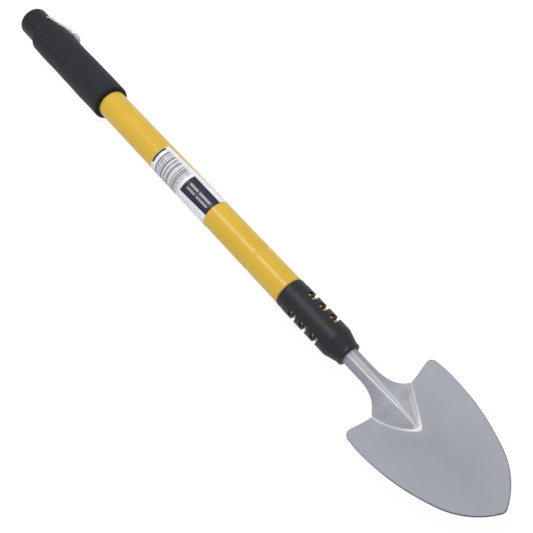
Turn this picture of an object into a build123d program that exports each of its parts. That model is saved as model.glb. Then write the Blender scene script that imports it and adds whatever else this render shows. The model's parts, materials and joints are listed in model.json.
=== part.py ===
from build123d import *
from math import asin, atan2, cos, degrees, pi, radians, sin, sqrt
import os

# Telescopic garden hand trowel with a twist lock.  Every size is in millimetres.
# The parts are modelled about the tool's own axis, X, with the trowel towards +X and the
# blade's front face towards +Z, and are then moved so that the origin is at the middle of
# the base of the whole tool's box.

# Outer tube
TUBE_R = 12.5
TUBE_WALL = 0.8
TUBE_TOP_X = -313.8
SWAGE_X = 26.9
SWAGE_R = 11.0
SWAGE_LENGTH = 1.7
TUBE_END_X = 79.0
BEAD_X = -8.8
BEAD_DEPTH = 0.4
BEAD_HALF_WIDTH = 1.5
BORE_R = TUBE_R - TUBE_WALL
SWAGE_BORE_R = SWAGE_R - TUBE_WALL

# End cap and hanging bail
CAP_TOP_X = -336.7
CAP_R = 13.2
CAP_SPIGOT_X = -301.0
CAP_SPIGOT_WALL = 2.4
BAIL_X = -320.6
BAIL_ROLL = 45.0
BAIL_WIRE_R = 1.05
BAIL_HALF_WIDTH = 14.5
BAIL_LENGTH = 36.0
BAIL_TILT = 23.8
BAIL_TAIL = 7.0
BAIL_CORNER_R = 6.0
BAIL_HOLE_R = BAIL_WIRE_R + 0.08

# Foam grip
FOAM_R = 16.25
FOAM_TOP_X = -313.6
FOAM_END_X = -208.3
FOAM_TOP_EDGE_R = 3.4
FOAM_END_EDGE_R = 2.9
FOAM_DENT_GAP = 0.45

# Label
LABEL_X0 = -132.4
LABEL_X1 = -61.7
LABEL_THICK = 0.15
LABEL_EDGE_ROLL = 51.0
LABEL_SPAN = 228.0

# Locking collar
COLLAR_X = 27.8
COLLAR_BAND_X = 34.5
COLLAR_BAND_R = 12.8
COLLAR_R = 13.0
CONE_X = 81.5
LIP_X = 91.0
LIP_R = 9.8
MOUTH_X = 94.2
MOUTH_R = 7.05
SLOT_WIDTH = 2.7
SLOT_PITCH = 11.9
SLOT_ROWS = 3
FRONT_SLOT_X = 47.2
BACK_SLOT_X = 43.0
SLOT_START = 42.0
SHORT_SLOT_END = 68.0
SLOT_JOINT = 82.0
COLLAR_ROLL = -10.0

# Inner tube and the trowel's neck share one outside radius
NECK_R = 6.75
INNER_WALL = 0.8
INNER_TOP_X = -264.2
NECK_X = 62.0
SPIGOT_R = 5.2
SPIGOT_END_X = 95.0
PIN_R = 1.5
PIN_XS = (70.0, 84.0)

# Twist lock on the inner tube's top end
STUD_R = 3.0
STUD_TOP_X = -301.0
STUD_END_X = -252.0
LOCK_NUT_X = (-299.2, -294.4)
CONE_NUT_X = (-293.4, -281.4)
CONE_NUT_R = 9.4
CONE_TIP_R = 6.6
CONE_GAP = 0.35
EXPANDER_X = (-288.0, -268.2)
EXPANDER_R = 11.5
DRAG_RING_X = -273.0
DRAG_RING_R = 0.95
WASHER_X = (-267.9, -266.6)
PLUG_X = (-266.3, -242.0)

# Trowel head, one pressed sheet
SHEET = 1.5
UNROLL_X = 114.0
NOTCH_X = 138.0
NOTCH_Y = 18.0
APEX_X = 168.0
CREST_DROP = 0.55
APEX_CREST_Z = 4.6
BLADE_X = 130.0
BLADE_Z = 2.2
BLADE_PITCH = 9.7
DISH_DEPTH = 4.2
DISH_P = 40.0
DISH_ACROSS_R = 235.0
DISH_ALONG_R = 608.0


def turned(*points):
    """A solid of revolution about X, from the (x, r) corners of its half section."""
    outline = Polyline(*[(x, 0, r) for x, r in points], close=True)
    return revolve(make_face(outline), axis=Axis.X)


def tube(x0, x1, outer, inner):
    return turned((x0, inner), (x1, inner), (x1, outer), (x0, outer))


def rod(x0, x1, radius):
    return extrude(Plane.YZ.offset(x0) * Circle(radius), x1 - x0)


def circles_at(solid, x, radius):
    """The round edges of a turned solid at one station and radius."""
    found = solid.edges().filter_by(GeomType.CIRCLE)
    return [e for e in found if abs(e.arc_center.X - x) < 0.01 and abs(e.radius - radius) < 0.01]


def cross_pin(x, radius, half_length, roll=0.0):
    """A round bar across the axis; roll turns it from Z towards +Y."""
    bar = Cylinder(radius, 2 * half_length)
    return Location((x, 0, 0)) * (Rotation(-roll, 0, 0) * bar)


def outer_tube():
    """Painted steel tube with one rolled bead, swaged down under the collar."""
    bead = [(BEAD_X - BEAD_HALF_WIDTH, 0), (BEAD_X, BEAD_DEPTH), (BEAD_X + BEAD_HALF_WIDTH, 0)]
    outside = [(TUBE_TOP_X, TUBE_R)]
    outside += [(x, TUBE_R - depth) for x, depth in bead]
    outside += [(SWAGE_X, TUBE_R), (SWAGE_X + SWAGE_LENGTH, SWAGE_R), (TUBE_END_X, SWAGE_R)]
    inside = [(x, r - TUBE_WALL) for x, r in outside]
    return turned(*outside, *reversed(inside))


def bail_plane(tilt=BAIL_TILT):
    """The bail's own plane: x along its legs, y along its pivot, z off the grip."""
    pivot = Vector(0, sin(radians(BAIL_ROLL)), cos(radians(BAIL_ROLL)))
    side = pivot.cross(Vector(1, 0, 0))
    legs = Vector(1, 0, 0) * cos(radians(tilt)) + side * sin(radians(tilt))
    return Plane(origin=(BAIL_X, 0, 0), x_dir=legs, z_dir=pivot.cross(legs))


def hanging_bail():
    """One bent wire: two tails in the cap, two legs and a cross bar."""
    half = BAIL_HALF_WIDTH
    tail = half - BAIL_TAIL
    points = [(0, -tail), (0, -half), (BAIL_LENGTH, -half)]
    points += [(x, -y) for x, y in reversed(points)]
    inner = 1.6 * BAIL_WIRE_R
    route = FilletPolyline(*points, radius=[inner, BAIL_CORNER_R, BAIL_CORNER_R, inner])
    route = bail_plane() * route
    section = Plane(origin=route @ 0, z_dir=route % 0) * Circle(BAIL_WIRE_R)
    return sweep(section, path=route)


def end_cap():
    """Moulded cap: a head with the bail's cross hole, and a hollow spigot in the tube."""
    spigot_r = BORE_R - 0.03
    head = rod(CAP_TOP_X, TUBE_TOP_X - 0.1, CAP_R)
    head = fillet(circles_at(head, CAP_TOP_X, CAP_R), 1.4)
    cap = head + rod(TUBE_TOP_X - 0.2, CAP_SPIGOT_X, spigot_r)
    cap -= rod(TUBE_TOP_X + 1.0, CAP_SPIGOT_X + 1.0, spigot_r - CAP_SPIGOT_WALL)
    return cap - cross_pin(BAIL_X, BAIL_HOLE_R, CAP_R + 2, BAIL_ROLL)


def foam_grip():
    """Foam sleeve, dented where the folded bail is pressed into it."""
    foam = tube(FOAM_TOP_X, FOAM_END_X, FOAM_R, TUBE_R + 0.05)
    foam = fillet(circles_at(foam, FOAM_TOP_X, FOAM_R), FOAM_TOP_EDGE_R)
    foam = fillet(circles_at(foam, FOAM_END_X, FOAM_R), FOAM_END_EDGE_R)
    width = 2 * (BAIL_WIRE_R + FOAM_DENT_GAP)
    depth = 12.0
    across = Box(width, 2 * BAIL_HALF_WIDTH + width, depth)
    along = Box(BAIL_LENGTH, width, depth)
    rise = depth / 2 - width / 2
    dent = Location((BAIL_LENGTH, 0, rise)) * across
    for side in (-1, 1):
        dent += Location((BAIL_LENGTH / 2, side * BAIL_HALF_WIDTH, rise)) * along
    return foam - bail_plane() * dent


def rolled_shell(x0, x1, inner, outer, start, span):
    """Part of a tube's wall: start is the roll of one edge from Z towards +Y."""
    strip = Polyline((x0, 0, inner), (x1, 0, inner), (x1, 0, outer), (x0, 0, outer), close=True)
    shell = revolve(make_face(strip), axis=Axis.X, revolution_arc=span)
    return Rotation(-start, 0, 0) * shell


def paper_label():
    inner = TUBE_R + 0.02
    return rolled_shell(LABEL_X0, LABEL_X1, inner, inner + LABEL_THICK, LABEL_EDGE_ROLL, LABEL_SPAN)


def slot(x0, x1, start, end):
    """A slot through the collar's wall, mirrored to both sides of the tool."""
    half = SLOT_WIDTH / 2
    cut = rolled_shell(x0 - half, x1 + half, SWAGE_R - 1, COLLAR_R + 1, end, end - start)
    return cut + mirror(cut, about=Plane.XZ)


def collar():
    """Black sleeve on the swaged end, with stepped slots and a coned mouth."""
    wall = 2.2
    sleeve = turned(
        (COLLAR_X, COLLAR_BAND_R - 0.6),
        (COLLAR_X, COLLAR_BAND_R),
        (COLLAR_BAND_X, COLLAR_BAND_R),
        (COLLAR_BAND_X + 0.5, COLLAR_R),
        (CONE_X, COLLAR_R),
        (LIP_X - 0.8, LIP_R + 0.2),
        (LIP_X, LIP_R),
        (MOUTH_X, LIP_R),
        (MOUTH_X, MOUTH_R),
        (LIP_X - 4, MOUTH_R),
        (CONE_X + 1, COLLAR_R - wall),
        (CONE_X - 2, COLLAR_R - wall),
        (CONE_X - 2, SWAGE_R + 0.03),
        (COLLAR_X + 1.6, SWAGE_R + 0.03),
    )
    sleeve = fillet(circles_at(sleeve, MOUTH_X, LIP_R), 0.7)
    sleeve = fillet(circles_at(sleeve, CONE_X, COLLAR_R), 2.0)
    for row in range(SLOT_ROWS):
        front = FRONT_SLOT_X + row * SLOT_PITCH
        back = BACK_SLOT_X + row * SLOT_PITCH
        sleeve -= slot(front, front, SLOT_START, SLOT_JOINT)
        sleeve -= slot(back, front, SLOT_JOINT, 180 - SLOT_JOINT)
        sleeve -= slot(back, back, 180 - SLOT_JOINT, 180 - SLOT_START)
        sleeve -= slot(back, back, SLOT_START, SHORT_SLOT_END)
        sleeve -= slot(front, front, 180 - SHORT_SLOT_END, 180 - SLOT_START)
    return Rotation(-COLLAR_ROLL, 0, 0) * sleeve


def guide_bush():
    """Keeps the inner tube in the middle of the outer tube's swaged end."""
    return tube(36.0, TUBE_END_X - 1, SWAGE_BORE_R - 0.03, NECK_R + 0.1)


def stop_bush():
    """Held by the rolled bead; the lock meets it at full extension."""
    half = 13.0
    gap = 0.05
    outer = BORE_R - gap
    waist = outer - BEAD_DEPTH
    return turned(
        (BEAD_X - half, NECK_R + 0.5),
        (BEAD_X + half, NECK_R + 0.5),
        (BEAD_X + half, outer),
        (BEAD_X + BEAD_HALF_WIDTH + gap, outer),
        (BEAD_X, waist - gap),
        (BEAD_X - BEAD_HALF_WIDTH - gap, outer),
        (BEAD_X - half, outer),
    )


def inner_tube():
    """Sliding tube, with a reduced end for the trowel's socket."""
    outside = [(INNER_TOP_X, NECK_R), (NECK_X - 1, NECK_R)]
    outside += [(NECK_X, SPIGOT_R), (SPIGOT_END_X, SPIGOT_R)]
    inside = [(x, r - INNER_WALL) for x, r in outside]
    body = turned(*outside, *reversed(inside))
    for x in PIN_XS:
        body -= Rotation(90, 0, 0) * cross_pin(x, PIN_R + 0.02, NECK_R + 1)
    return body


def stud_plug():
    """Turned plug in the inner tube's top, with a flange on the tube's end."""
    flange_end = INNER_TOP_X - 0.05
    body = rod(PLUG_X[0], flange_end, NECK_R - 0.1)
    body += rod(flange_end - 0.1, PLUG_X[1], NECK_R - INNER_WALL - 0.02)
    return body - rod(PLUG_X[0] - 1, PLUG_X[1] + 1, STUD_R + 0.02)


def threaded_stud():
    """Screw that carries the lock; the thread stands for its crest diameter."""
    stud = rod(STUD_TOP_X, STUD_END_X, STUD_R)
    return chamfer(circles_at(stud, STUD_TOP_X, STUD_R), 0.6)


def lock_nut():
    """Hexagon nut at the end of the stud."""
    x0, x1 = LOCK_NUT_X
    across_flats = 10.0
    hexagon = RegularPolygon(across_flats / 2, 6, major_radius=False)
    return extrude(Plane.YZ.offset(x0) * hexagon, x1 - x0) - rod(x0 - 1, x1 + 1, STUD_R + 0.02)


def cone_nut():
    """Coned nut that the stud draws into the expander."""
    x0, x1 = CONE_NUT_X
    bore = STUD_R + 0.06
    return turned((x0, bore), (x1, bore), (x1, CONE_TIP_R), (x0 + 4, CONE_NUT_R), (x0, CONE_NUT_R))


def split_expander():
    """Split plastic sleeve that grips the outer tube when the cone spreads it."""
    x0, x1 = EXPANDER_X
    slope = (CONE_NUT_R - CONE_TIP_R) / (CONE_NUT_X[1] - CONE_NUT_X[0] - 4)
    bore = STUD_R + 0.08
    seat_x = CONE_NUT_X[1] + 2
    mouth_r = CONE_TIP_R + CONE_GAP + slope * (CONE_NUT_X[1] - x0)
    seat_r = CONE_TIP_R + CONE_GAP - slope * 2
    cavity = [(x0, mouth_r), (seat_x, seat_r), (seat_x, bore)]
    sleeve = turned(*cavity, (x1, bore), (x1, EXPANDER_R), (x0, EXPANDER_R))
    groove_r = EXPANDER_R - 2 * DRAG_RING_R
    sleeve -= tube(DRAG_RING_X - 1.1, DRAG_RING_X + 1.1, EXPANDER_R + 1, groove_r)
    slit = Box(seat_x - x0 + 2, 1.4, 2 * EXPANDER_R)
    return sleeve - Location(((x0 + seat_x) / 2 - 1, 0, EXPANDER_R + 3)) * slit


def drag_ring():
    """Rubber ring that keeps the expander from turning while the lock is tightened."""
    centre_r = EXPANDER_R + 0.1 - DRAG_RING_R
    section = Location((DRAG_RING_X, 0, centre_r)) * (Plane.XZ * Circle(DRAG_RING_R))
    return revolve(section, axis=Axis.X)


def thrust_washer():
    return tube(*WASHER_X, NECK_R + 2.2, STUD_R + 0.1)


def crest_z(x):
    """Height of the pressed crest's top above the axis."""
    if x <= UNROLL_X:
        return NECK_R
    notch_z = NECK_R - CREST_DROP
    if x <= NOTCH_X:
        return NECK_R - CREST_DROP * (x - UNROLL_X) / (NOTCH_X - UNROLL_X)
    return notch_z + (APEX_CREST_Z - notch_z) * (x - NOTCH_X) / (APEX_X - NOTCH_X)


def gusset_half_width(x):
    """Half width of the V between the gusset and the blade."""
    return NOTCH_Y * (1 - ((x - NOTCH_X) / (APEX_X - NOTCH_X)) ** 1.7)


def blade_z(x, y):
    """Height of the blade's front face, near enough for a small pitch."""
    p = (x - BLADE_X) / cos(radians(BLADE_PITCH))
    dish = y**2 / (2 * DISH_ACROSS_R) + (p - DISH_P) ** 2 / (2 * DISH_ALONG_R) - DISH_DEPTH
    return BLADE_Z + p * sin(radians(BLADE_PITCH)) + dish


def bent_strip(x, radius, half_angle):
    """Cross section of the sheet: an arc of its thickness, with the crest on top."""
    inner = radius - SHEET
    centre = crest_z(x) - radius

    def at(r, angle):
        return Vector(x, r * sin(angle), centre + r * cos(angle))

    outside = ThreePointArc(at(radius, -half_angle), at(radius, 0), at(radius, half_angle))
    inside = ThreePointArc(at(inner, half_angle), at(inner, 0), at(inner, -half_angle))
    ends = [Line(outside @ 1, inside @ 0), Line(inside @ 1, outside @ 0)]
    return make_face([outside, ends[0], inside, ends[1]])


def neck_sections():
    """The rolled neck opening out towards the notches at the blade's shoulders."""
    seam_half_gap = 0.4
    half_length = (NECK_R - SHEET / 2) * (pi - seam_half_gap / NECK_R)
    tight = 1 / NECK_R
    open_curve = 0.0285
    for x in (UNROLL_X, 119, 123.5, 127.5, 131, 134.5):
        u = (x - UNROLL_X) / (NOTCH_X - UNROLL_X)
        radius = 1 / (tight - (tight - open_curve) * u**1.6)
        yield bent_strip(x, radius, half_length / (radius - SHEET / 2))


def gusset_sections():
    """The raised gusset, dying into the blade at the apex of its V."""
    for x in (NOTCH_X, 144, 150, 156, 161, 165):
        half = gusset_half_width(x)
        sag = max(crest_z(x) - blade_z(x, half), 0.15)
        radius = (half**2 + sag**2) / (2 * sag)
        yield bent_strip(x, radius, asin(half / radius))


def blade_outline():
    """Leaf shape in the blade's plane: p along it, y across, mirrored about y = 0."""
    notch = (NOTCH_X - BLADE_X - 0.1, NOTCH_Y)
    shoulder = (3.0, 40.6)
    widest = (16.5, 41.4)
    turn = 22.0
    side = JernArc(widest, (1, 0), 175.0, -turn)
    tip_r = 58.0
    end_turn = degrees(heading_at_axis(side @ 1, turn, tip_r)) - turn
    nose = JernArc(side @ 1, side % 1, tip_r, -end_turn)
    edge = [Line((notch[0], 0), notch), Line(notch, shoulder), Line(shoulder, widest), side, nose]
    half = make_face([*edge, Line(nose @ 1, (notch[0], 0))])
    leaf = half + mirror(half, about=Plane.XZ)
    corners = leaf.vertices()
    leaf = fillet([v for v in corners if abs(v.X - shoulder[0]) < 0.01], 5.0)
    tip = leaf.vertices().sort_by(Axis.X)[-1]
    return fillet(tip, 5.0)


def heading_at_axis(start, turn, radius):
    """Heading, in radians, at which an arc of this radius reaches y = 0."""
    level = cos(radians(turn)) - start.Y / radius
    return atan2(sqrt(1 - level**2), level)


def blade():
    """Dished plate, cut to the leaf shape, open where the gusset is pressed up."""
    upper, lower = DISH_ACROSS_R, DISH_ACROSS_R + SHEET
    reach = radians(11.5)
    middle = upper - DISH_DEPTH

    def at(r, angle):
        return Vector(DISH_P, r * sin(angle), middle - r * cos(angle))

    top = ThreePointArc(at(upper, -reach), at(upper, 0), at(upper, reach))
    under = ThreePointArc(at(lower, reach), at(lower, 0), at(lower, -reach))
    strip = make_face([top, Line(top @ 1, under @ 0), under, Line(under @ 1, top @ 0)])
    spin = Axis((DISH_P, 0, DISH_ALONG_R - DISH_DEPTH), (0, 1, 0))
    back, ahead = 4.0, 7.5
    plate = revolve(strip.rotate(spin, back), axis=spin, revolution_arc=-(back + ahead))
    plate &= Location((0, 0, -15)) * extrude(blade_outline(), 30)
    pitched = Plane(
        origin=(BLADE_X, 0, BLADE_Z),
        x_dir=(cos(radians(BLADE_PITCH)), 0, sin(radians(BLADE_PITCH))),
        z_dir=(-sin(radians(BLADE_PITCH)), 0, cos(radians(BLADE_PITCH))),
    )
    return pitched * plate - gusset_opening()


def gusset_opening():
    """The V-shaped part of the plate that the gusset takes the place of."""
    stations = [NOTCH_X - 2, 141, 145, 149, 153, 157, 160, 163]
    inset = 0.7
    side = [(x, gusset_half_width(max(x, NOTCH_X)) - inset) for x in stations]
    outline = [*side, *[(x, -y) for x, y in reversed(side)]]
    return Location((0, 0, -20)) * extrude(make_face(Polyline(*outline, close=True)), 40)


def trowel_head():
    """Socket, gusset and blade as the one sheet that they are pressed from."""
    socket = tube(NECK_X + 0.3, UNROLL_X, NECK_R, NECK_R - SHEET)
    seam = Box(UNROLL_X - NECK_X + 2, 0.8, 2 * SHEET)
    socket -= Location(((NECK_X + UNROLL_X) / 2, 0, -NECK_R + SHEET / 2)) * seam
    for x in PIN_XS:
        socket -= Rotation(90, 0, 0) * cross_pin(x, PIN_R + 0.02, NECK_R + 1)
    neck = loft([*neck_sections(), *gusset_sections()])
    return socket + neck + blade()


def neck_pins():
    """Two flush cross pins that hold the trowel on the inner tube."""
    return Compound([Rotation(90, 0, 0) * cross_pin(x, PIN_R, NECK_R - 0.12) for x in PIN_XS])


NODES = {
    "outer_tube": outer_tube,
    "end_cap": end_cap,
    "hanging_bail": hanging_bail,
    "foam_grip": foam_grip,
    "paper_label": paper_label,
    "locking_collar": collar,
    "guide_bush": guide_bush,
    "stop_bush": stop_bush,
    "inner_tube": inner_tube,
    "stud_plug": stud_plug,
    "threaded_stud": threaded_stud,
    "lock_nut": lock_nut,
    "cone_nut": cone_nut,
    "split_expander": split_expander,
    "drag_ring": drag_ring,
    "thrust_washer": thrust_washer,
    "trowel_head": trowel_head,
    "neck_pins": neck_pins,
}


def build():
    """Every node about the tool's axis, then moved onto the origin."""
    parts = {name: make() for name, make in NODES.items()}
    box = Compound([part for part in parts.values()]).bounding_box()
    shift = Vector(-(box.min.X + box.max.X) / 2, -(box.min.Y + box.max.Y) / 2, -box.min.Z)
    print("axis height", round(shift.Z, 3), "shift x", round(shift.X, 3), "y", round(shift.Y, 3))
    return {name: Location(shift) * part for name, part in parts.items()}


os.makedirs("parts", exist_ok=True)
for node, part in build().items():
    export_step(part, f"parts/{node}.step")
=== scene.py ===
import json
import math

import bmesh
import bpy
import numpy as np
from mathutils import Matrix, Vector, kdtree


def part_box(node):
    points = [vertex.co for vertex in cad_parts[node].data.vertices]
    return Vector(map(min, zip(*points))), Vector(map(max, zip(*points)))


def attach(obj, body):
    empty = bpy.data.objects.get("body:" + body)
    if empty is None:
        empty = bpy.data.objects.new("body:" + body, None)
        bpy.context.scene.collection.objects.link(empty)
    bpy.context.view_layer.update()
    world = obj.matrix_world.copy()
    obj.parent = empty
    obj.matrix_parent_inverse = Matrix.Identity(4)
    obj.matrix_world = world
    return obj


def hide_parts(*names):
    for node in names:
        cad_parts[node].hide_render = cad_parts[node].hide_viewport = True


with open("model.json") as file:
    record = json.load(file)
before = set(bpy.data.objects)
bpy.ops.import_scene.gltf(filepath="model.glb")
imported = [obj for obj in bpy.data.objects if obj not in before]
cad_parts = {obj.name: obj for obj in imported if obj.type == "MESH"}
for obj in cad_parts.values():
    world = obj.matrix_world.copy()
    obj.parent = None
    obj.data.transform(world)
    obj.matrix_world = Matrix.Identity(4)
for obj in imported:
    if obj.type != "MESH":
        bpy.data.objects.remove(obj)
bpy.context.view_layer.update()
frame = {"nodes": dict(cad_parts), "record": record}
NODES = frame["nodes"]

# ---------------------------------------------------------------- sizes and places

# Millimetres about the tool's own axis: stations run along it towards the trowel, y to the side
# and z up. Radii are about the same axis.
TUBE_TOP = -313.8
TUBE_R = 12.5
TUBE_WALL = 0.8
BEAD_X = -8.8
BEAD_HALF = 2.2
BEAD_DEPTH = 0.4
SWAGED_R = 11.0
SWAGED_END = 79.0

FOAM_TOP = -313.6
FOAM_END = -208.3
FOAM_R = 16.25
FOAM_BORE = 12.56

LABEL_TOP = -132.4
LABEL_END = -61.7
LABEL_TURN = 228.0
LABEL_OUTER = 12.67
LABEL_INNER = 12.53

# The wire loop: its pivot's station, its roll about the axis and its tilt off it
BAIL_X = -320.6
BAIL_ROLL = math.radians(45.0)
BAIL_TILT = math.radians(23.8)
BAIL_LENGTH = 36.0
BAIL_HALF = 14.5
WIRE_R = 1.05

# The collar's slots: the first one's middle station, and those of its two stepped ends
COLLAR_TOP = 27.8
COLLAR_END = 94.2
SLOT_X = 45.1
SLOT_BACK_X = 40.9
SLOT_AHEAD_X = 49.3
SLOT_HALF = 1.35
SLOT_PITCH = 11.9
SLOT_ROWS = 3

# One pressed sheet: the rolled neck, the notches where it opens out, and the blade
SHEET = 1.5
NECK_R = 6.75
NECK_TOP = 62.3
FLARE_X = 114.0
NECK_HALF = (NECK_R - SHEET / 2) * (math.pi - 0.4 / NECK_R)
NOTCH_X = 138.0
NOTCH_Y = 18.0
NOTCH_CURVE = 0.0285
NOTCH_ANGLE = NECK_HALF / (1 / NOTCH_CURVE - SHEET / 2)
SHOULDER_R = 5.0
SIDE_R = 175.0
END_R = 58.0
TIP_R = 5.0

# The blade's own plane: where it starts, its height there and its pitch; and its shallow hollow
BLADE_X = 130.0
BLADE_Z = 2.2
PITCH = math.radians(9.7)
DISH_ACROSS_R = 235.0
DISH_ALONG_R = 608.0
DISH_MIDDLE = 40.0
DISH_DEPTH = 4.2

# The crest as (station, height), and half the width of the marks along it at two stations
CREST = ((FLARE_X, NECK_R), (NOTCH_X, 6.2), (168.0, 4.6))
MARKS_X = (118.0, 148.0)
MARKS_HALF = (1.85, 0.85)

# The raised V: its length from the notches, and how its border curves on the left and the right
V_LENGTH = 31.0
V_POWER_LEFT = 1.65
V_POWER_RIGHT = 0.95
V_BLEND = 3.0
V_ROUNDING = 2.5

tube_low, tube_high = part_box("outer_tube")
AXIS_Z = (tube_low.z + tube_high.z) / 2
STATION_0 = tube_low.x - TUBE_TOP / 1000


def at(x, y, z):
    """A point given in millimetres about the tool's axis, in metres in the row frame."""
    return Vector((STATION_0 + x / 1000, y / 1000, AXIS_Z + z / 1000))


# ---------------------------------------------------------------- materials


class Shader:
    """A small helper that strings shader nodes together."""

    def __init__(self, name, roughness=0.5, metallic=0.0, **sockets):
        self.material = bpy.data.materials.new(name)
        self.material.use_nodes = True
        self.tree = self.material.node_tree
        self.tree.nodes.clear()
        self.output = self.tree.nodes.new("ShaderNodeOutputMaterial")
        self.bsdf = self.node("ShaderNodeBsdfPrincipled")
        self.bsdf.inputs["Roughness"].default_value = roughness
        self.bsdf.inputs["Metallic"].default_value = metallic
        for socket, value in sockets.items():
            self.bsdf.inputs[socket.replace("_", " ")].default_value = value
        self.link(self.bsdf.outputs[0], self.output.inputs[0])
        self.coords = None

    def node(self, kind, **settings):
        made = self.tree.nodes.new(kind)
        for key, value in settings.items():
            setattr(made, key, value)
        return made

    def link(self, a, b):
        self.tree.links.new(a, b)

    def put(self, socket, value):
        if isinstance(value, bpy.types.NodeSocket):
            self.link(value, socket)
        else:
            socket.default_value = value

    def position(self):
        """Millimetres about the tool's axis: station, y, z."""
        if self.coords is None:
            tex = self.node("ShaderNodeTexCoord")
            shift = self.node("ShaderNodeMapping", vector_type="POINT")
            shift.inputs["Location"].default_value = (-STATION_0 * 1000, 0, -AXIS_Z * 1000)
            shift.inputs["Scale"].default_value = (1000, 1000, 1000)
            self.link(tex.outputs["Object"], shift.inputs["Vector"])
            self.coords = shift.outputs[0]
        return self.coords

    def split(self, vector):
        parts = self.node("ShaderNodeSeparateXYZ")
        self.link(vector, parts.inputs[0])
        return parts.outputs[0], parts.outputs[1], parts.outputs[2]

    def math(self, operation, a, b=0.0, c=0.0):
        made = self.node("ShaderNodeMath", operation=operation)
        for socket, value in zip(made.inputs, (a, b, c)):
            self.put(socket, value)
        return made.outputs[0]

    def noise(self, scale, detail=2.0, roughness=0.5, vector=None, stretch=None):
        """Noise whose scale is in features per millimetre."""
        source = self.position() if vector is None else vector
        if stretch is not None:
            mapping = self.node("ShaderNodeMapping")
            mapping.inputs["Scale"].default_value = stretch
            self.link(source, mapping.inputs["Vector"])
            source = mapping.outputs[0]
        made = self.node("ShaderNodeTexNoise")
        self.link(source, made.inputs["Vector"])
        made.inputs["Scale"].default_value = scale
        made.inputs["Detail"].default_value = detail
        made.inputs["Roughness"].default_value = roughness
        return made.outputs["Fac"]

    def mix(self, factor, a, b):
        made = self.node("ShaderNodeMix", data_type="RGBA")
        self.put(made.inputs[0], factor)
        for socket, value in ((made.inputs[6], a), (made.inputs[7], b)):
            self.put(socket, (*value, 1) if isinstance(value, tuple) else value)
        return made.outputs[2]

    def times(self, product, *others):
        """The product of all the values."""
        for other in others:
            product = self.math("MULTIPLY", product, other)
        return product

    def most(self, largest, *others):
        """The largest of the values."""
        for other in others:
            largest = self.math("MAXIMUM", largest, other)
        return largest

    def spread(self, value, low, high, out_low, out_high):
        """A straight change from one output to the other, level outside the two limits."""
        made = self.node("ShaderNodeMapRange")
        for socket, number in zip(made.inputs, (value, low, high, out_low, out_high)):
            self.put(socket, number)
        return made.outputs[0]

    def bump(self, height, distance_mm, strength):
        made = self.node("ShaderNodeBump")
        made.inputs["Strength"].default_value = strength
        made.inputs["Distance"].default_value = distance_mm / 1000
        self.link(height, made.inputs["Height"])
        return made.outputs[0]

    def band(self, value, low, high, soft):
        """One between low and high, fading over twice the softness at each end."""
        rise = self.spread(value, low - soft, low + soft, 0, 1)
        above = self.math("SUBTRACT", value, high)
        return self.times(rise, self.spread(above, -soft, soft, 1, 0))

    def colour(self, value):
        self.put(self.bsdf.inputs["Base Color"], (*value, 1) if isinstance(value, tuple) else value)

    def roughness(self, value):
        self.put(self.bsdf.inputs["Roughness"], value)

    def normal(self, value):
        self.link(value, self.bsdf.inputs["Normal"])


def yellow_paint():
    s = Shader("yellow_paint", 0.30, Specular_IOR_Level=0.28)
    broad = s.spread(s.noise(0.035), 0.35, 0.65, 0, 1)
    s.colour(s.mix(broad, (0.525, 0.336, 0.032), (0.555, 0.357, 0.042)))
    s.roughness(s.spread(s.noise(0.9, 3.0), 0.3, 0.7, 0.26, 0.36))
    s.normal(s.bump(s.noise(1.6), 0.03, 0.25))
    return s.material


def v_border(s, x, y):
    """How far along the raised V a point lies, 0 to 1, and how far inside its border, as in
    gusset_height()."""
    u = s.spread(x, NOTCH_X, NOTCH_X + V_LENGTH, 0, 1)
    power = s.spread(y, -V_BLEND, V_BLEND, V_POWER_LEFT, V_POWER_RIGHT)
    border = s.times(NOTCH_Y, s.math("SUBTRACT", 1.0, s.math("POWER", u, power)))
    ahead = s.math("POWER", s.times(u, u, V_ROUNDING), 2.0)
    reach = s.math("SQRT", s.math("ADD", s.times(y, y), ahead))
    return u, s.math("SUBTRACT", border, reach)


def v_highlights(s, x, y, u, inset):
    """Painted highlights: the two lines of the V's border, and the bright spot at its apex."""
    past_notch = s.spread(x, NOTCH_X - 2, NOTCH_X + 0.5, 0, 1)
    outer = s.times(s.band(inset, -0.35, s.spread(u, 0.6, 1, 0.6, 2.2), 0.5), past_notch)
    inner = s.times(s.band(inset, 1.9, 3.6, 0.9), past_notch, s.spread(y, -4, 0, 0.1, 1), 0.65)
    lines = s.times(s.most(outer, inner), s.spread(u, 0.4, 0.9, 0.6, 1.0))
    spot_x, spot_y = 163.6, -1.5
    off_x = s.math("POWER", s.math("SUBTRACT", x, spot_x), 2.0)
    off_y = s.math("POWER", s.math("SUBTRACT", y, spot_y), 2.0)
    return s.most(lines, s.spread(s.math("ADD", off_x, off_y), 0.5, 8.0, 0.7, 0))


def crest_highlights(s, x, y, z):
    """Painted highlights along the crest's two lips and, fainter, along the groove between them."""
    half = s.spread(x, *MARKS_X, *MARKS_HALF)
    off_lip = s.math("SUBTRACT", s.math("ABSOLUTE", y), half)
    groove = s.spread(off_lip, -0.1, 0.3, 0.25, 0)
    lip = s.spread(s.math("ABSOLUTE", off_lip), 0.1, 0.75, 1, 0)
    lines = s.times(s.most(lip, groove), s.spread(x, 164, 167, 1, 0), s.spread(z, 2.5, 3.5, 0, 1))
    return s.times(lines, s.spread(y, -1, 1, 1.0, 0.6), s.spread(x, 136, 152, 1.0, 0.75))


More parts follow.
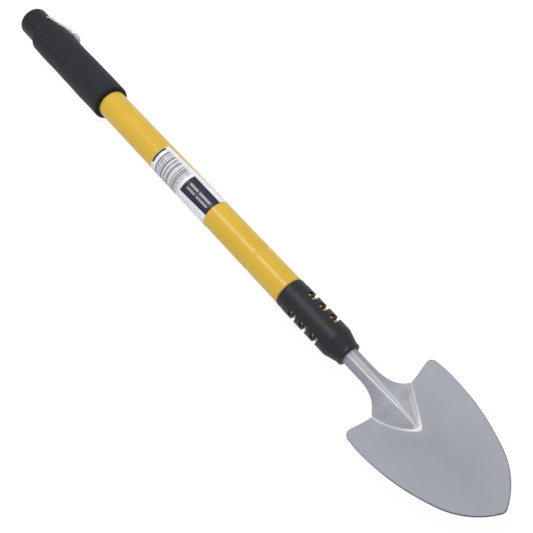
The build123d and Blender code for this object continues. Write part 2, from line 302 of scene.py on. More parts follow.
def silver_paint():
    """Metallic paint, toned by place: painted highlights along the pressed lines, painted light and shade
    on the gusset, and painted shade over the middle, rim and neck.
    """
    s = Shader("silver_paint", 0.5, metallic=0.05, Specular_IOR_Level=0.15)
    flecks = s.noise(6.0)
    broad = s.spread(s.noise(0.03), 0.35, 0.65, 0, 1)
    # The colours of the painted light on the gusset, of the painted highlights and of the painted shade
    pale, painted_highlight, dark = (0.78, 0.78, 0.80), (0.78, 0.76, 0.74), (0.06, 0.065, 0.075)
    tone = s.mix(broad, (0.265, 0.278, 0.318), (0.283, 0.297, 0.338))
    tone = s.mix(s.spread(flecks, 0.3, 0.7, 0, 0.25), tone, (0.35, 0.36, 0.39))
    x, y, z = s.split(s.position())
    off_crest = s.math("ABSOLUTE", y)
    u, inset = v_border(s, x, y)
    # The gusset: painted light, lighter on its right, and painted shade, darker along its left border
    panel = s.times(s.spread(inset, 0, 4, 0, 1), s.spread(y, 1, 3, 0.045, 0.15))
    tone = s.mix(s.times(panel, s.spread(x, 122, 147, 0, 1)), tone, pale)
    shade = s.times(s.band(inset, 1.8, 4.0, 1.2), s.spread(y, -4, 0, 0.13, 0))
    tone = s.mix(s.times(shade, s.spread(x, 144, 156, 0, 1)), tone, dark)
    # Painted shade over the middle of the blade below the V
    v_end = NOTCH_X + V_LENGTH
    below = s.most(s.spread(inset, -6, -1, 1, 0), s.spread(x, v_end, v_end + 6, 0, 1))
    middle = s.times(s.spread(off_crest, 0, 34, 0.16, 0), below, s.spread(x, 195, 250, 1, 0))
    tone = s.mix(middle, tone, dark)
    # Painted highlights along the V's border, at its apex and along the crest's lips
    lines = s.most(v_highlights(s, x, y, u, inset), crest_highlights(s, x, y, z))
    tone = s.mix(s.times(lines, 0.85), tone, painted_highlight)
    # Painted shade on the rim all round the blade, where the surface turns over, but not inside the V
    turned = s.node("ShaderNodeTexCoord")
    level = s.math("ABSOLUTE", s.split(turned.outputs["Normal"])[2])
    beside_neck = s.spread(off_crest, NOTCH_Y + 0.2, NOTCH_Y + 1, 0, 1)
    on_blade = s.most(beside_neck, s.spread(x, NOTCH_X + 0.5, NOTCH_X + 2, 0, 1))
    on_blade = s.times(on_blade, s.spread(inset, -1.2, -0.6, 1, 0))
    rim = s.times(s.spread(level, 0.72, 0.93, 1, 0), on_blade)
    tone = s.mix(s.times(rim, 0.75), tone, dark)
    # Painted shade over the neck
    tone = s.mix(s.spread(x, 112, 142, 0.16, 0), tone, dark)
    s.colour(tone)
    s.roughness(s.spread(flecks, 0.3, 0.7, 0.44, 0.54))
    s.normal(s.bump(s.noise(2.5, 3.0), 0.02, 0.2))
    return s.material


def black_plastic(name, value, roughness, grain, grain_mm):
    s = Shader(name, roughness, Specular_IOR_Level=0.3)
    s.colour(s.mix(s.noise(0.08), tuple(0.85 * v for v in value), tuple(1.15 * v for v in value)))
    grains = s.noise(grain)
    s.roughness(s.spread(grains, 0.3, 0.7, roughness - 0.06, roughness + 0.06))
    s.normal(s.bump(grains, grain_mm, 0.5))
    return s.material


def foam():
    """Closed-cell foam, with painted shade at both ends of the sleeve."""
    s = Shader("grip_foam", 0.85, Sheen_Weight=0.06, Sheen_Roughness=0.5, Specular_IOR_Level=0.15)
    tone = s.mix(s.noise(0.12, 3.0), (0.0135, 0.0151, 0.0193), (0.0206, 0.0228, 0.0286))
    x, _, _ = s.split(s.position())
    # Painted shade on the sleeve's lower end face and along its upper edge
    lower_end = s.spread(x, FOAM_END - 3.2, FOAM_END - 1.2, 0, 0.7)
    upper_end = s.spread(x, FOAM_TOP + 0.4, FOAM_TOP + 2.4, 0.9, 0)
    s.colour(s.mix(s.math("ADD", lower_end, upper_end), tone, (0.004, 0.004, 0.005)))
    cells = s.node("ShaderNodeTexVoronoi")
    s.link(s.position(), cells.inputs["Vector"])
    cells.inputs["Scale"].default_value = 2.6
    height = s.math("ADD", cells.outputs["Distance"], s.times(s.noise(3.0, 3.0), 0.8))
    s.normal(s.bump(height, 0.12, 0.5))
    return s.material


def bright_metal(name, value, roughness):
    s = Shader(name, roughness, metallic=1.0)
    scuff = s.noise(0.8, 4.0, stretch=(0.25, 1, 1))
    s.colour(s.mix(scuff, tuple(0.9 * v for v in value), value))
    s.roughness(s.spread(scuff, 0.3, 0.7, roughness - 0.04, roughness + 0.06))
    return s.material


def bright_wire():
    """Drawn, plated wire, with a painted highlight along the middle of the folded loop's legs and painted
    shade at their sides.
    """
    s = Shader("bail_chrome", 0.3, metallic=0.2, Specular_IOR_Level=0.3)
    turned = s.node("ShaderNodeTexCoord")
    _, y, z = s.split(turned.outputs["Normal"])
    # Painted highlight and painted shade, by which way the wire's surface faces
    across = s.math("ABSOLUTE", s.math("MULTIPLY_ADD", z, 0.17, s.times(y, 0.985)))
    s.colour(s.mix(s.spread(across, 0.25, 0.7, 0, 1), (0.58, 0.58, 0.57), (0.05, 0.05, 0.055)))
    s.roughness(s.spread(s.noise(0.8, 4.0, stretch=(0.25, 1, 1)), 0.3, 0.7, 0.18, 0.34))
    return s.material


def label_paper():
    """Printed paper: a band, rows of thin bars, and a dark panel with pale bars; no lettering."""
    s = Shader("label_paper", 0.42, Specular_IOR_Level=0.35)
    white, smudged, grey = (0.66, 0.65, 0.69), (0.50, 0.50, 0.62), (0.07, 0.07, 0.075)
    navy, pale = (0.015, 0.017, 0.033), (0.8, 0.8, 0.82)
    x, y, z = s.split(s.position())
    # Degrees round the tube from the line that faces the camera
    roll = s.math("MULTIPLY_ADD", s.math("ARCTAN2", y, z), 180 / math.pi, 10.0)
    smudge = s.spread(s.noise(0.35, 4.0, 0.65, stretch=(0.5, 1, 1)), 0.48, 0.62, 0, 0.75)
    tone = s.mix(smudge, white, smudged)
    # Bars across the label: noise that changes along the tube only
    bars_top, bars_end = -127.2, -97.5
    along = s.node("ShaderNodeCombineXYZ")
    s.link(x, along.inputs[0])
    bars = s.spread(s.noise(0.55, 2.0, 0.8, vector=along.outputs[0]), 0.46, 0.54, 0.06, 0.92)
    bars = s.times(bars, s.band(x, bars_top, bars_end, 0.3), s.spread(roll, 34, 39, 1, 0))
    tone = s.mix(bars, tone, grey)
    band = s.times(s.band(x, LABEL_TOP + 0.2, LABEL_TOP + 2.2, 0.25), s.band(roll, -39, 33, 1.0))
    # The panel runs from its station to the label's end, its left side a little askew
    panel_x = -94.5
    left = s.spread(x, panel_x, LABEL_END, -37, -31)
    off_left = s.math("SUBTRACT", roll, left)
    panel = s.times(s.spread(off_left, -1, 1, 0, 1), s.spread(roll, 40, 42, 1, 0))
    panel = s.times(panel, s.spread(x, panel_x - 0.3, panel_x + 0.3, 0, 1))
    tone = s.mix(s.most(band, panel), tone, navy)
    # Plain pale bars on the panel
    lengths = s.math("ADD", s.band(x, -90.5, -80.5, 0.2), s.band(x, -78.8, -65.0, 0.2))
    rows = s.math("ADD", s.band(roll, 4.5, 13.5, 0.8), s.band(roll, -13.0, -4.5, 0.8))
    tone = s.mix(s.times(lengths, rows, 0.3), tone, pale)
    s.colour(tone)
    s.normal(s.bump(s.noise(0.8, 3.0), 0.03, 0.3))
    return s.material


MATERIALS = {
    "yellow_paint": yellow_paint(),
    "silver_paint": silver_paint(),
    "grip_foam": foam(),
    "cap_plastic": black_plastic("cap_plastic", (0.0085, 0.0105, 0.0135), 0.55, 1.8, 0.03),
    "collar_plastic": black_plastic("collar_plastic", (0.0095, 0.0108, 0.0135), 0.52, 1.8, 0.02),
    "label_paper": label_paper(),
    "bail_chrome": bright_wire(),
    "bush_plastic": black_plastic("bush_plastic", (0.06, 0.06, 0.065), 0.45, 1.5, 0.02),
    "zinc_steel": bright_metal("zinc_steel", (0.62, 0.63, 0.65), 0.3),
    "ring_rubber": black_plastic("ring_rubber", (0.015, 0.015, 0.015), 0.7, 2.5, 0.02),
}
SLOTS = {row["node"]: row["material_slot"] for row in frame["record"]["subparts"]}
for name, node in NODES.items():
    node.data.materials.clear()
    node.data.materials.append(MATERIALS[SLOTS[name]])

# ---------------------------------------------------------------- shapes


def smooth(value):
    """Rises from 0 to 1 with level ends."""
    value = np.clip(value, 0, 1)
    return value * value * (3 - 2 * value)


def piece(name, points, faces, body, node, slot, sharp=35.0):
    """A mesh piece that stands for a CAD node, from points in millimetres about the axis."""
    mesh = bpy.data.meshes.new(name)
    mesh.from_pydata([at(*(float(v) for v in p)) for p in points], [], faces)
    work = bmesh.new()
    work.from_mesh(mesh)
    bmesh.ops.remove_doubles(work, verts=work.verts, dist=2e-6)
    bmesh.ops.recalc_face_normals(work, faces=work.faces)
    work.to_mesh(mesh)
    work.free()
    mesh.polygons.foreach_set("use_smooth", [True] * len(mesh.polygons))
    mesh.set_sharp_from_angle(angle=math.radians(sharp))
    mesh.materials.append(MATERIALS[slot])
    made = bpy.data.objects.new(name, mesh)
    bpy.context.scene.collection.objects.link(made)
    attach(made, body)
    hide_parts(node)
    return made


def round_edges(made, angle, width_mm):
    """Rounds every edge sharper than the angle, in degrees."""
    work = bmesh.new()
    work.from_mesh(made.data)
    paired = [edge for edge in work.edges if len(edge.link_faces) == 2]
    sharp = [edge for edge in paired if edge.calc_face_angle() > math.radians(angle)]
    bmesh.ops.bevel(
        work, geom=sharp, offset=width_mm / 1000, segments=3, profile=0.5,
        affect="EDGES", clamp_overlap=True,
    )
    work.to_mesh(made.data)
    work.free()
    made.data.polygons.foreach_set("use_smooth", [True] * len(made.data.polygons))
    made.data.set_sharp_from_angle(angle=math.radians(45))


def grid_faces(rows, columns, start=0, closed=False):
    """Quads over a grid of points stored row by row."""
    faces = []
    for i in range(rows - 1):
        for j in range(columns if closed else columns - 1):
            k = (j + 1) % columns
            a, b = start + i * columns, start + (i + 1) * columns
            faces.append((a + j, a + k, b + k, b + j))
    return faces


def sheet_faces(rows, columns, ends):
    """Faces of a sheet from two grids of points, the second one underneath, with a rim along
    both sides and along each row in ends."""
    size = rows * columns
    faces = grid_faces(rows, columns)
    faces += [tuple(reversed(face)) for face in grid_faces(rows, columns, size)]
    for end in ends:
        i = end * columns
        faces += [(i + j, i + j + 1, size + i + j + 1, size + i + j) for j in range(columns - 1)]
    for j in (0, columns - 1):
        for i in range(rows - 1):
            a, b = i * columns + j, (i + 1) * columns + j
            faces.append((a, b, size + b, size + a))
    return faces


def around(radius, angle):
    """A point at a radius, its angle in radians from the second axis towards the first."""
    return radius * np.array([math.sin(angle), math.cos(angle)])


def resampled(path, count):
    """Evenly spaced points along a dense plane path, and each one's share of its length."""
    path = np.array(path)
    along = np.concatenate([[0], np.cumsum(np.linalg.norm(np.diff(path, axis=0), axis=1))])
    wanted = np.linspace(0, along[-1], count)
    points = np.stack([np.interp(wanted, along, path[:, k]) for k in range(2)], 1)
    return points, wanted / along[-1]


def lathe(profile, steps):
    """A ring profile of (station, radius) turned about the axis, closed on itself."""
    angles = np.arange(steps) * 2 * math.pi / steps
    points = [(x, r * math.sin(a), r * math.cos(a)) for a in angles for x, r in profile]
    count = len(profile)
    faces = []
    for i in range(steps):
        a, b = i * count, (i + 1) % steps * count
        faces += [(a + j, a + (j + 1) % count, b + (j + 1) % count, b + j) for j in range(count)]
    return points, faces


def corner(centre, radius, start, end, steps):
    """Points of a rounded corner; angles in degrees, 0 along +station and 90 outwards."""
    turns = np.radians(np.linspace(start, end, steps))
    return [(centre[0] + radius * math.cos(a), centre[1] + radius * math.sin(a)) for a in turns]


def rounded_path(points, radii):
    """A plane path through the points, each inner corner rounded."""
    points = [np.array(point, float) for point in points]
    path = [points[0]]
    for before, here, after, radius in zip(points, points[1:], points[2:], radii):
        a = (before - here) / np.linalg.norm(before - here)
        b = (after - here) / np.linalg.norm(after - here)
        half = math.acos(np.clip(a @ b, -1, 1)) / 2
        reach = radius / math.tan(half)
        centre = here + (a + b) / np.linalg.norm(a + b) * radius / math.sin(half)
        p, q = here + a * reach - centre, here + b * reach - centre
        turn = math.copysign(math.pi - 2 * half, p[0] * q[1] - p[1] * q[0])
        for k in range(13):
            c, d = math.cos(turn * k / 12), math.sin(turn * k / 12)
            path.append(centre + np.array([p[0] * c - p[1] * d, p[0] * d + p[1] * c]))
    path.append(points[-1])
    return path


def stepped(path, step):
    """The path's points, spaced by about the step."""
    length = sum(np.linalg.norm(b - a) for a, b in zip(path, path[1:]))
    return resampled(path, max(int(length / step), 2) + 1)[0]


# ---------------------------------------------------------------- the trowel, one pressed sheet


def crest_height(x):
    """Height of the crest, level along the neck and falling over the gusset."""
    return np.interp(x, *zip(*CREST))


def dish(p, y):
    """The blade's hollow, at a distance p along its slope."""
    return y**2 / (2 * DISH_ACROSS_R) + (p - DISH_MIDDLE) ** 2 / (2 * DISH_ALONG_R) - DISH_DEPTH


def blade_height(x, y):
    """Height of the blade's face over a point of the plane through the axis."""
    p = (x - BLADE_X) / math.cos(PITCH)
    p = p + dish(p, y) * math.tan(PITCH)
    return BLADE_Z + p * math.sin(PITCH) + dish(p, y) * math.cos(PITCH)


def crest_marks(x, y):
    """The two lips pressed along the crest, with a shallow groove between them."""
    # They start at top, are full from full to low and are gone at end
    top, full, low, end = 91, 94, 160, 165
    half = np.interp(x, [*MARKS_X, end], [*MARKS_HALF, 0.5])
    groove = np.interp(x, [top, full, FLARE_X, NOTCH_X, low, end], [0, 0.36, 0.36, 0.16, 0.12, 0])
    lip = np.interp(x, [top, full, low, end], [0, 0.08, 0.08, 0])
    y = np.abs(y)
    return lip * np.exp(-(((y - half) / 0.35) ** 2)) - groove * np.clip(1 - (y / half) ** 2, 0, 1)


def neck_row(x, columns):
    """One row across the rolled neck, opening out towards the shoulder notches."""
    u = max((x - FLARE_X) / (NOTCH_X - FLARE_X), 0)
    radius = 1 / (1 / NECK_R - (1 / NECK_R - NOTCH_CURVE) * u**1.6)
    angle = columns * NECK_HALF / (radius - SHEET / 2)
    drop = 1 + 0.0646 * smooth((x - 126) / 12)
    y = radius * np.sin(angle)
    z = crest_height(x) - radius * (1 - np.cos(angle)) * drop
    z = z + crest_marks(x, y) * (np.abs(angle) < 1.5)
    return np.stack([np.full_like(y, x), y, z], 1)


def gusset_height(x, y):
    """The raised gusset inside its V, and the blade outside it."""
    floor = blade_height(x, y)
    u = np.clip((x - NOTCH_X) / V_LENGTH, 0, None)
    side = smooth((y + V_BLEND) / (2 * V_BLEND))
    outer = NOTCH_Y * (1 - u ** (V_POWER_LEFT - (V_POWER_LEFT - V_POWER_RIGHT) * side))
    wall = 1.5 + 1.3 * smooth(u)
    inner = outer - wall
    recess = 0.5 * smooth((x - NOTCH_X) / 6) * smooth((1.12 - u) / 0.12)
    reach = np.sqrt(y**2 + (V_ROUNDING * u**2) ** 2)
    lowered = floor - recess * smooth((outer - reach) / wall)
    top = crest_height(x)
    # Facets that are nearly flat further down
    edge = blade_height(x, np.clip(inner, 0, None)) - recess
    share = np.clip(reach / np.clip(inner, 0.05, None), 0, 1)
    flat = 0.75 * smooth((x - 131) / 19)
    facet = edge + (top - edge) * ((1 - flat) * (1 - share**2) + flat * (1 - share))
    inside = np.where(reach < inner, facet, lowered)
    # The neck's own arc at the notches
    start = blade_height(x, outer)
    arc_r = 1 / NOTCH_CURVE
    base = math.sqrt(arc_r**2 - NOTCH_Y**2)
    share = np.clip(np.abs(y) / np.clip(outer, 0.05, None), 0, 1)
    rise = (np.sqrt(arc_r**2 - (NOTCH_Y * share) ** 2) - base) / (arc_r - base)
    arc = np.where(np.abs(y) < outer, start + (top - start) * rise, floor)
    blend = smooth((x - NOTCH_X) / 8)
    return (1 - blend) * arc + blend * inside + crest_marks(x, y) * (reach < inner)


def leaf_outline(count):
    """Half of the blade's outline from the notch to the tip, in the blade's own plane: a rounded
    shoulder, then arcs down the side, round the leaf's end and round its tip."""
    notch, shoulder, widest = (7.9, NOTCH_Y), (3.0, 40.6), (16.5, 41.4)
    path = list(stepped(rounded_path([notch, shoulder, widest], [SHOULDER_R]), 0.4))
    turn = math.radians(22)
    centre = np.array([widest[0], widest[1] - SIDE_R])
    path += [centre + around(SIDE_R, a) for a in np.linspace(0, turn, 160)[1:]]
    centre = path[-1] - around(END_R, turn)
    tip = np.array([centre[0] + math.sqrt((END_R - TIP_R) ** 2 - centre[1] ** 2), 0])
    meet = math.atan2(*(tip - centre))
    path += [centre + around(END_R, a) for a in np.linspace(turn, meet, 120)[1:]]
    path += [tip + around(TIP_R, a) for a in np.linspace(meet, math.pi / 2, 20)[1:]]
    outline, share = resampled(path, count)
    outline[-1, 1] = 0
    return outline, share


def trowel_sheet():
    """Neck, gusset and blade as one sheet with thickness and softly rounded rims."""
    half = np.linspace(0, 1, 71) ** 1.15
    columns = np.concatenate([-half[:0:-1], half])
    straight, flared = np.arange(NECK_TOP, FLARE_X, 1.0), np.arange(FLARE_X, NOTCH_X - 0.1, 0.6)
    rows = [neck_row(x, columns) for x in (*straight, *flared)]
    neck_rows = len(rows)
    outline, shares = leaf_outline(210)
    across = np.sin(np.abs(columns) * NOTCH_ANGLE) / math.sin(NOTCH_ANGLE)
    for (p_rim, y_rim), share in zip(outline, shares):
        p_mid = 8 + 82 * share**1.15
        p = p_mid + (p_rim - p_mid) * across
        y = y_rim * across * np.sign(columns)
        x = BLADE_X + p * math.cos(PITCH) - dish(p, y) * math.sin(PITCH)
        rows.append(np.stack([x, y, gusset_height(x, y)], 1))
    top = np.array(rows)
    normal = np.cross(np.gradient(top, axis=0), np.gradient(top, axis=1))
    x, y, near = top[neck_rows:, :, 0], top[neck_rows:, :, 1], 0.3
    slope_x = (gusset_height(x + near, y) - gusset_height(x - near, y)) / (2 * near)
    slope_y = (gusset_height(x, y + near) - gusset_height(x, y - near)) / (2 * near)
    normal[neck_rows:] = np.stack([-slope_x, -slope_y, np.ones_like(x)], 2)
    normal[-1, :, 1] = 0
    normal /= np.linalg.norm(normal, axis=2, keepdims=True)
    under = top - SHEET * normal
    # The blade's sheared edge is rolled over at the top
    roll_over = 0.45
    top[neck_rows:, [0, -1], 2] -= roll_over
    points = np.concatenate([top.reshape(-1, 3), under.reshape(-1, 3)])
    # No rim across the last row, where the two halves meet along the tip's centre line
    faces = sheet_faces(len(rows), len(columns), [0])
    made = piece("trowel_sheet", points, faces, "shaft", "trowel_head", "silver_paint")
    round_edges(made, 55, 0.28)


# ---------------------------------------------------------------- grip, bail and label


def bail_path():
    """The wire's centre line, in millimetres about the axis, and its plane's normal."""
    pivot = np.array([0, math.sin(BAIL_ROLL), math.cos(BAIL_ROLL)])
    side = np.cross(pivot, [1.0, 0, 0])
    legs = np.array([math.cos(BAIL_TILT), 0, 0]) + math.sin(BAIL_TILT) * side
    end = BAIL_HALF - 7.0
    half = [(0, end), (0, BAIL_HALF), (BAIL_LENGTH, BAIL_HALF)]
    corners = [(a, -b) for a, b in half] + half[::-1]
    flat = stepped(rounded_path(corners, [1.25, 6.0, 6.0, 1.25]), 0.35)
    return np.array([BAIL_X, 0, 0]) + flat[:, :1] * legs + flat[:, 1:] * pivot, np.cross(pivot, legs)


def bail_wire():
    """The loop: round wire along its path, with flat ends inside the cap."""
    path, lift = bail_path()
    ahead = np.gradient(path, axis=0)
    ahead /= np.linalg.norm(ahead, axis=1, keepdims=True)
    sideways = np.cross(lift, ahead)
    steps = 24
    points = []
    for centre, out in zip(path, sideways):
        for k in range(steps):
            a = 2 * math.pi * k / steps
            points.append(centre + WIRE_R * (math.cos(a) * out + math.sin(a) * lift))
    faces = grid_faces(len(path), steps, closed=True)
    faces += [tuple(range(steps)), tuple(range(len(points) - steps, len(points)))]
    piece("bail_wire", points, faces, "bail", "hanging_bail", "bail_chrome", 50)


def foam_profile():
    """The plain sleeve's section, with its two outer corners rounded."""
    bore_edge, top_corner, end_corner = 12.75, 3.4, 2.9
    profile = [(FOAM_TOP, FOAM_BORE), (FOAM_TOP, bore_edge)]
    profile += corner((FOAM_TOP + top_corner, FOAM_R - top_corner), top_corner, 180, 90, 14)
    profile += [(x, FOAM_R) for x in np.arange(FOAM_TOP + 4.2, FOAM_END - 3.4, 0.8)]
    profile += corner((FOAM_END - end_corner, FOAM_R - end_corner), end_corner, 90, 0, 12)
    return profile + [(FOAM_END, bore_edge), (FOAM_END, FOAM_BORE)]


def foam_sleeve():
    """Soft foam, a little uneven, pressed in under the folded loop and swollen beside its end."""
    # How far the dent stays below the wire, how near the swelling may come to it, and the
    # swelling's height and width
    pressed, clearance, swell, swell_width = 0.15, 0.4, 1.3, 3.5
    # The radius at which the sleeve is unrolled to measure how far a point is from the wire
    unroll = 15.0
    points, faces = lathe(foam_profile(), 200)
    wire = [centre for centre in bail_path()[0] if centre[0] > FOAM_TOP - 1]
    tree = kdtree.KDTree(len(wire))
    for index, centre in enumerate(wire):
        tree.insert(Vector((centre[0], unroll * math.atan2(centre[1], centre[2]), 0)), index)
    tree.balance()
    shaped = []
    for x, y, z in points:
        r, roll = math.hypot(y, z), math.atan2(y, z)
        if r > FOAM_BORE + 0.3:
            wave = 0.10 * math.sin(0.11 * x + 2 * roll) + 0.06 * math.sin(0.23 * x - 3 * roll + 1)
            depth = float(smooth((r - 13) / 2))
            new = r + depth * (wave - 0.10)
            _, index, away = tree.find(Vector((x, unroll * roll, 0)))
            wire_low = math.hypot(wire[index][1], wire[index][2]) - WIRE_R
            dent = max(r - (wire_low - pressed), 0)
            dent_width = 2.2 + 3.2 * float(smooth((-294 - x) / 10))
            new = max(new - dent * math.exp(-((away / dent_width) ** 2)), FOAM_BORE + 0.15)
            gap = wire_low - clearance - new
            new += min(max(gap, 0), swell) * math.exp(-((away / swell_width) ** 2)) * depth
            y, z = y * new / r, z * new / r
        shaped.append((x, y, z))
    made = piece("foam_sleeve", shaped, faces, "handle", "foam_grip", "grip_foam", 60)


def paper_wrap():
    """The label: a thin printed sheet round the tube, cut slightly askew, its rim just lifting."""
    rows, columns = 90, 150
    right_edge, askew = 41.5, 19.1
    points = []
    for radius in (LABEL_OUTER, LABEL_INNER):
        for x in np.linspace(LABEL_TOP, LABEL_END, rows):
            edge = right_edge + askew * ((x - LABEL_TOP) / (LABEL_END - LABEL_TOP))
            for v in np.linspace(0, 1, columns):
                roll = math.radians(edge - LABEL_TURN * v)
                to_side = min(v, 1 - v) * math.radians(LABEL_TURN) * 12.6
                rim = min(to_side, x - LABEL_TOP, LABEL_END - x)
                r = radius + 0.05 * math.exp(-rim / 0.7) * (1 + math.sin(0.5 * x + 3 * roll))
                points.append((x, r * math.sin(roll), r * math.cos(roll)))
    faces = sheet_faces(rows, columns, [0, rows - 1])
    piece("paper_wrap", points, faces, "handle", "paper_label", "label_paper", 40)


# ---------------------------------------------------------------- tube and collar


def painted_tube():
    """The outer tube with its rolled bead and its swaged end, smoothly turned."""
    bead = []
    for off in np.linspace(-BEAD_HALF, BEAD_HALF, 23):
        depth = BEAD_DEPTH * math.cos(off / BEAD_HALF * math.pi / 2) ** 2
        bead.append((BEAD_X + off, TUBE_R - depth))
    swage = [(25.9, TUBE_R), (26.5, 12.42), (27.0, 12.15)]
    swage += [(28.0, 11.3), (28.6, 11.04), (29.2, SWAGED_R)]
    outside = [(TUBE_TOP, TUBE_R - 0.2), (TUBE_TOP + 0.2, TUBE_R)]
    outside += [(x, TUBE_R) for x in np.linspace(-300, -20, 15)]
    outside += bead + swage
    outside += [(x, SWAGED_R) for x in np.linspace(35, SWAGED_END, 12)]
    inside = [(x, r - TUBE_WALL) for x, r in reversed(outside)]
    points, faces = lathe(outside + inside, 160)
    piece("painted_tube", points, faces, "handle", "outer_tube", "yellow_paint", 50)


def collar_windows():
    """The slots as (station, first angle, last angle) about the axis, for one side."""
    first, last, stepped_part = 42.0, 138.0, 26.0
    windows = []
    for row in range(SLOT_ROWS):
        along = row * SLOT_PITCH
        windows.append((SLOT_X + along, first, last))
        windows.append((SLOT_BACK_X + along, first, first + stepped_part))
        windows.append((SLOT_AHEAD_X + along, last - stepped_part, last))
    return windows


def collar_shell():
    """Moulded sleeve: slanted slots cut right through, coned mouth with a small lip."""
    roll, slant = 10.0, 2.1
    # Both profiles as stations and radii
    outer = (
        [COLLAR_TOP, 28.2, 33.9, 34.7, 79.6, 80.6, 81.6, 82.8, 89.0, 90.6, 91.4, 93.5, 93.95, COLLAR_END],
        [12.5, 12.8, 12.8, 13.0, 13.0, 12.95, 12.72, 12.30, 10.43, 9.93, 9.8, 9.8, 9.65, 9.25],
    )
    inner = ([COLLAR_TOP, 29.4, 79.5, 82.0, 87.0, COLLAR_END], [12.2, 11.04, 11.04, 10.8, 7.05, 7.05])
    windows = collar_windows()
    # Rings of points at the slots' edges and, clear of those, wherever the shape turns
    xs = {COLLAR_TOP, 28.1, 30.0, 33.9, 34.3, 34.7, 35.1, *np.linspace(38, 77, 27).tolist()}
    xs |= {78.0, 79.5, 80.6, 81.6, 82.8, 84.0, *np.linspace(84.5, 93, 13).tolist()}
    xs |= {93.5, 93.9, COLLAR_END}
    clear_mm, clear_degrees = 0.45, 1.2
    slot_edges = {centre + s * SLOT_HALF for centre, _, _ in windows for s in (-1, 1)}
    xs = {x for x in xs if min(abs(x - edge) for edge in slot_edges) > clear_mm}
    xs = sorted(slot_edges | xs)
    slot_ends = {v for _, a, b in windows for v in (a, b, 360 - a, 360 - b)}
    angles = {a for a in np.arange(0, 360, 3.0) if min(abs(a - v) for v in slot_ends) > clear_degrees}
    angles = sorted(slot_ends | angles)
    rows, columns = len(xs), len(angles)
    size = rows * columns

    points = []
    for table in (outer, inner):
        for x in xs:
            r = float(np.interp(x, *table))
            slotted = float(smooth((x - 34.8) / 3.5) * smooth((79.2 - x) / 3.5))
            for angle in angles:
                t = math.radians(angle - roll)
                share = float(np.clip((min(angle, 360 - angle) - 66) / 48, 0, 1))
                along = slant * (1 - 2 * share) * slotted
                points.append((x + along, r * math.sin(t), r * math.cos(t)))

    def is_open(i, j):
        if i < 0 or i > rows - 2:
            return True
        x = (xs[i] + xs[i + 1]) / 2
        angle = (angles[j] + (angles[(j + 1) % columns] or 360.0)) / 2
        angle = min(angle, 360 - angle)
        return any(abs(x - centre) < SLOT_HALF and a < angle < b for centre, a, b in windows)

    faces = []
    for i in range(rows - 1):
        for j in range(columns):
            if is_open(i, j):
                continue
            k = (j + 1) % columns
            a, b, c, d = i * columns + j, i * columns + k, (i + 1) * columns + k, (i + 1) * columns + j
            faces += [(a, b, c, d), (size + d, size + c, size + b, size + a)]
            # A wall through the sleeve wherever the neighbour is open
            for p, q, m, n in ((a, b, i - 1, j), (c, d, i + 1, j), (d, a, i, j - 1), (b, c, i, k)):
                if is_open(m, n % columns):
                    faces.append((q, p, size + p, size + q))
    made = piece("collar_shell", points, faces, "handle", "locking_collar", "collar_plastic")
    round_edges(made, 60, 0.42)


trowel_sheet()
bail_wire()
foam_sleeve()
paper_wrap()
painted_tube()
collar_shell()

# ---------------------------------------------------------------- camera and studio

# The lens as a focal length for a square frame, both in the same unit; the distance in metres; the
# axis's angle to the line of sight and its direction across the frame; the tool's roll about it
FOCAL_PIXELS = 866.0
FRAME_PIXELS = 533.0
DISTANCE = 0.651
AXIS_TO_VIEW = math.radians(66.0)
PICTURE_ANGLE = math.radians(46.63)
ROLL = math.radians(10.0)


def camera_axes():
    """The camera's right, up and back, from how the tool's axis lies to it."""
    ct, st = math.cos(AXIS_TO_VIEW), math.sin(AXIS_TO_VIEW)
    ca, sa = math.cos(PICTURE_ANGLE), math.sin(PICTURE_ANGLE)
    u = Vector((st * ca, -st * sa, ct))
    side = Vector((sa, ca, 0))
    v0 = Vector((-ct * ca, ct * sa, st))
    n = math.cos(ROLL) * v0 + math.sin(ROLL) * side
    r = math.cos(ROLL) * side - math.sin(ROLL) * v0
    return [Vector((u[i], r[i], n[i])) for i in range(3)]


def make_camera():
    right, up, back = camera_axes()
    look_at = at(0, 0.5, 0)
    data = bpy.data.cameras.new("camera")
    data.sensor_width = 36.0
    data.lens = FOCAL_PIXELS / FRAME_PIXELS * data.sensor_width
    data.clip_start = 0.01
    camera = bpy.data.objects.new("camera", data)
    bpy.context.scene.collection.objects.link(camera)
    turn = Matrix((right, up, back)).transposed().to_4x4()
    camera.matrix_world = Matrix.Translation(look_at + DISTANCE * back) @ turn
    bpy.context.scene.camera = camera


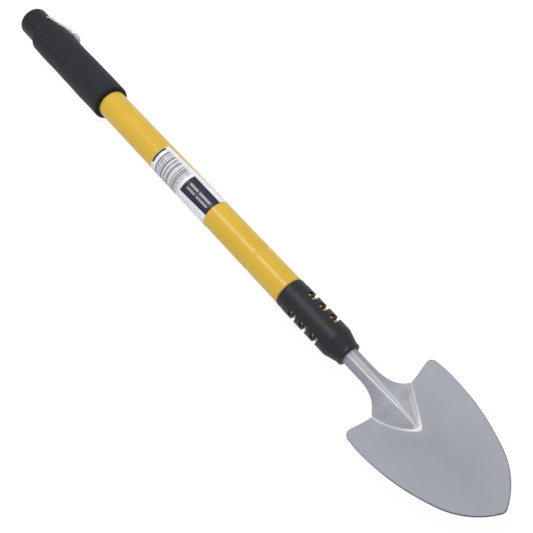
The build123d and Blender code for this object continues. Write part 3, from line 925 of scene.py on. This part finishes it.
def softbox(name, place, target, size, power):
    """A rectangular area light, in metres and watts, its first side along X."""
    data = bpy.data.lights.new(name, "AREA")
    data.shape = "RECTANGLE"
    data.size, data.size_y = size
    data.energy = power
    lamp = bpy.data.objects.new(name, data)
    bpy.context.scene.collection.objects.link(lamp)
    back = (place - target).normalized()
    x_axis = Vector((1, 0, 0))
    x_axis = (x_axis - x_axis.dot(back) * back).normalized()
    turn = Matrix((x_axis, back.cross(x_axis), back)).transposed().to_4x4()
    lamp.matrix_world = Matrix.Translation(place) @ turn


def white_world():
    """White to the camera, at half strength to everything else."""
    world = bpy.data.worlds.new("studio")
    world.use_nodes = True
    tree = world.node_tree
    background = tree.nodes["Background"]
    background.inputs["Color"].default_value = (1.0, 1.0, 1.0, 1)
    strength = tree.nodes.new("ShaderNodeMapRange")
    strength.inputs["To Min"].default_value = 0.5
    path = tree.nodes.new("ShaderNodeLightPath")
    tree.links.new(path.outputs["Is Camera Ray"], strength.inputs["Value"])
    tree.links.new(strength.outputs[0], background.inputs["Strength"])
    bpy.context.scene.world = world


def paper_floor():
    """A slightly glowing floor, so that it comes out white."""
    half = 4.0
    mesh = bpy.data.meshes.new("floor")
    corners = [(-half, -half, 0), (half, -half, 0), (half, half, 0), (-half, half, 0)]
    mesh.from_pydata(corners, [], [(0, 1, 2, 3)])
    floor = bpy.data.objects.new("floor", mesh)
    bpy.context.scene.collection.objects.link(floor)
    s = Shader("floor_paper", 0.9, Emission_Strength=0.9, Specular_IOR_Level=0.0)
    s.colour((0.16, 0.16, 0.16))
    s.bsdf.inputs["Emission Color"].default_value = (1, 1, 1, 1)
    mesh.materials.append(s.material)


def studio():
    white_world()
    paper_floor()
    # A long narrow box above, slightly to one side, for the bright line along the tube
    strip_roll = math.radians(2.6)
    height = 620
    strip = at(-160, height * math.sin(strip_roll), height * math.cos(strip_roll))
    softbox("strip", strip, at(-100, 0, 0), (0.62, 0.036), 3.4)
    square = (0.9, 0.9)
    softbox("key", at(100, 1100, 640), at(0, 0, 0), square, 2.85)
    softbox("fill", at(100, -1000, 700), at(0, 0, 0), square, 1.95)


make_camera()
studio()
bpy.context.scene.view_settings.view_transform = "Standard"
bpy.context.scene.view_settings.look = "None"
